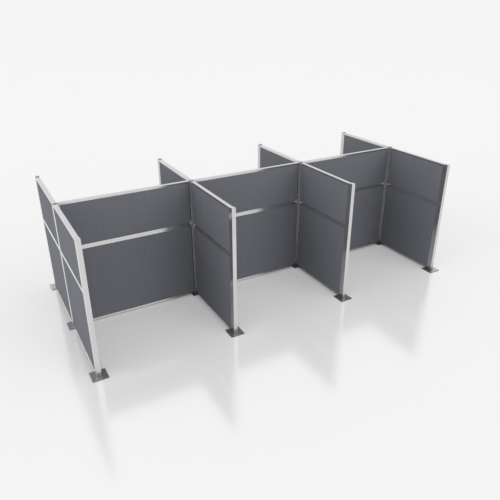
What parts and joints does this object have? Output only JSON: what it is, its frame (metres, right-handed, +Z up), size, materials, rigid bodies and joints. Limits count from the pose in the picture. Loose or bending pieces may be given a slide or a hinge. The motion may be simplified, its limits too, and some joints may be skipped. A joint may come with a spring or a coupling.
{
  "type": "study carrel",
  "caption": "Free-standing study carrel cluster: fabric boards in aluminium frames slide between slotted square posts on flat foot plates, making open bays back to back along a spine.",
  "frame": {"origin": "on the floor, under the middle of the spine", "axes": "+X along the spine, +Y across it towards the back row of bays, +Z up"},
  "size_m": [3.8398, 1.8032, 1.2088],
  "materials": {
    "satin_aluminium": "satin clear-anodised extrusion",
    "satin_steel": "satin steel plate",
    "grey_fabric": "charcoal woven fabric with fine upright ribs over a board"
  },
  "bodies": {
    "root": {"spine_1_post": "satin_aluminium", "spine_2_post": "satin_aluminium", "spine_3_post": "satin_aluminium", "spine_4_post": "satin_aluminium", "front_end_1_post": "satin_aluminium", "front_end_2_post": "satin_aluminium", "front_end_3_post": "satin_aluminium", "front_end_4_post": "satin_aluminium", "back_end_1_post": "satin_aluminium", "back_end_2_post": "satin_aluminium", "back_end_3_post": "satin_aluminium", "back_end_4_post": "satin_aluminium", "spine_1_foot_plate": "satin_steel", "spine_2_foot_plate": "satin_steel", "spine_3_foot_plate": "satin_steel", "spine_4_foot_plate": "satin_steel", "front_end_1_foot_plate": "satin_steel", "front_end_2_foot_plate": "satin_steel", "front_end_3_foot_plate": "satin_steel", "front_end_4_foot_plate": "satin_steel", "back_end_1_foot_plate": "satin_steel", "back_end_2_foot_plate": "satin_steel", "back_end_3_foot_plate": "satin_steel", "back_end_4_foot_plate": "satin_steel", "spine_wall_1_frame": "satin_aluminium", "spine_wall_1_lower_board": "grey_fabric", "spine_wall_1_upper_board": "grey_fabric", "spine_wall_2_frame": "satin_aluminium", "spine_wall_2_lower_board": "grey_fabric", "spine_wall_2_upper_board": "grey_fabric", "spine_wall_3_frame": "satin_aluminium", "spine_wall_3_lower_board": "grey_fabric", "spine_wall_3_upper_board": "grey_fabric", "front_wing_1_frame": "satin_aluminium", "front_wing_1_lower_board": "grey_fabric", "front_wing_1_upper_board": "grey_fabric", "front_wing_2_frame": "satin_aluminium", "front_wing_2_lower_board": "grey_fabric", "front_wing_2_upper_board": "grey_fabric", "front_wing_3_frame": "satin_aluminium", "front_wing_3_lower_board": "grey_fabric", "front_wing_3_upper_board": "grey_fabric", "front_wing_4_frame": "satin_aluminium", "front_wing_4_lower_board": "grey_fabric", "front_wing_4_upper_board": "grey_fabric", "back_wing_1_frame": "satin_aluminium", "back_wing_1_lower_board": "grey_fabric", "back_wing_1_upper_board": "grey_fabric", "back_wing_2_frame": "satin_aluminium", "back_wing_2_lower_board": "grey_fabric", "back_wing_2_upper_board": "grey_fabric", "back_wing_3_frame": "satin_aluminium", "back_wing_3_lower_board": "grey_fabric", "back_wing_3_upper_board": "grey_fabric", "back_wing_4_frame": "satin_aluminium", "back_wing_4_lower_board": "grey_fabric", "back_wing_4_upper_board": "grey_fabric"}
  },
  "joints": []
}
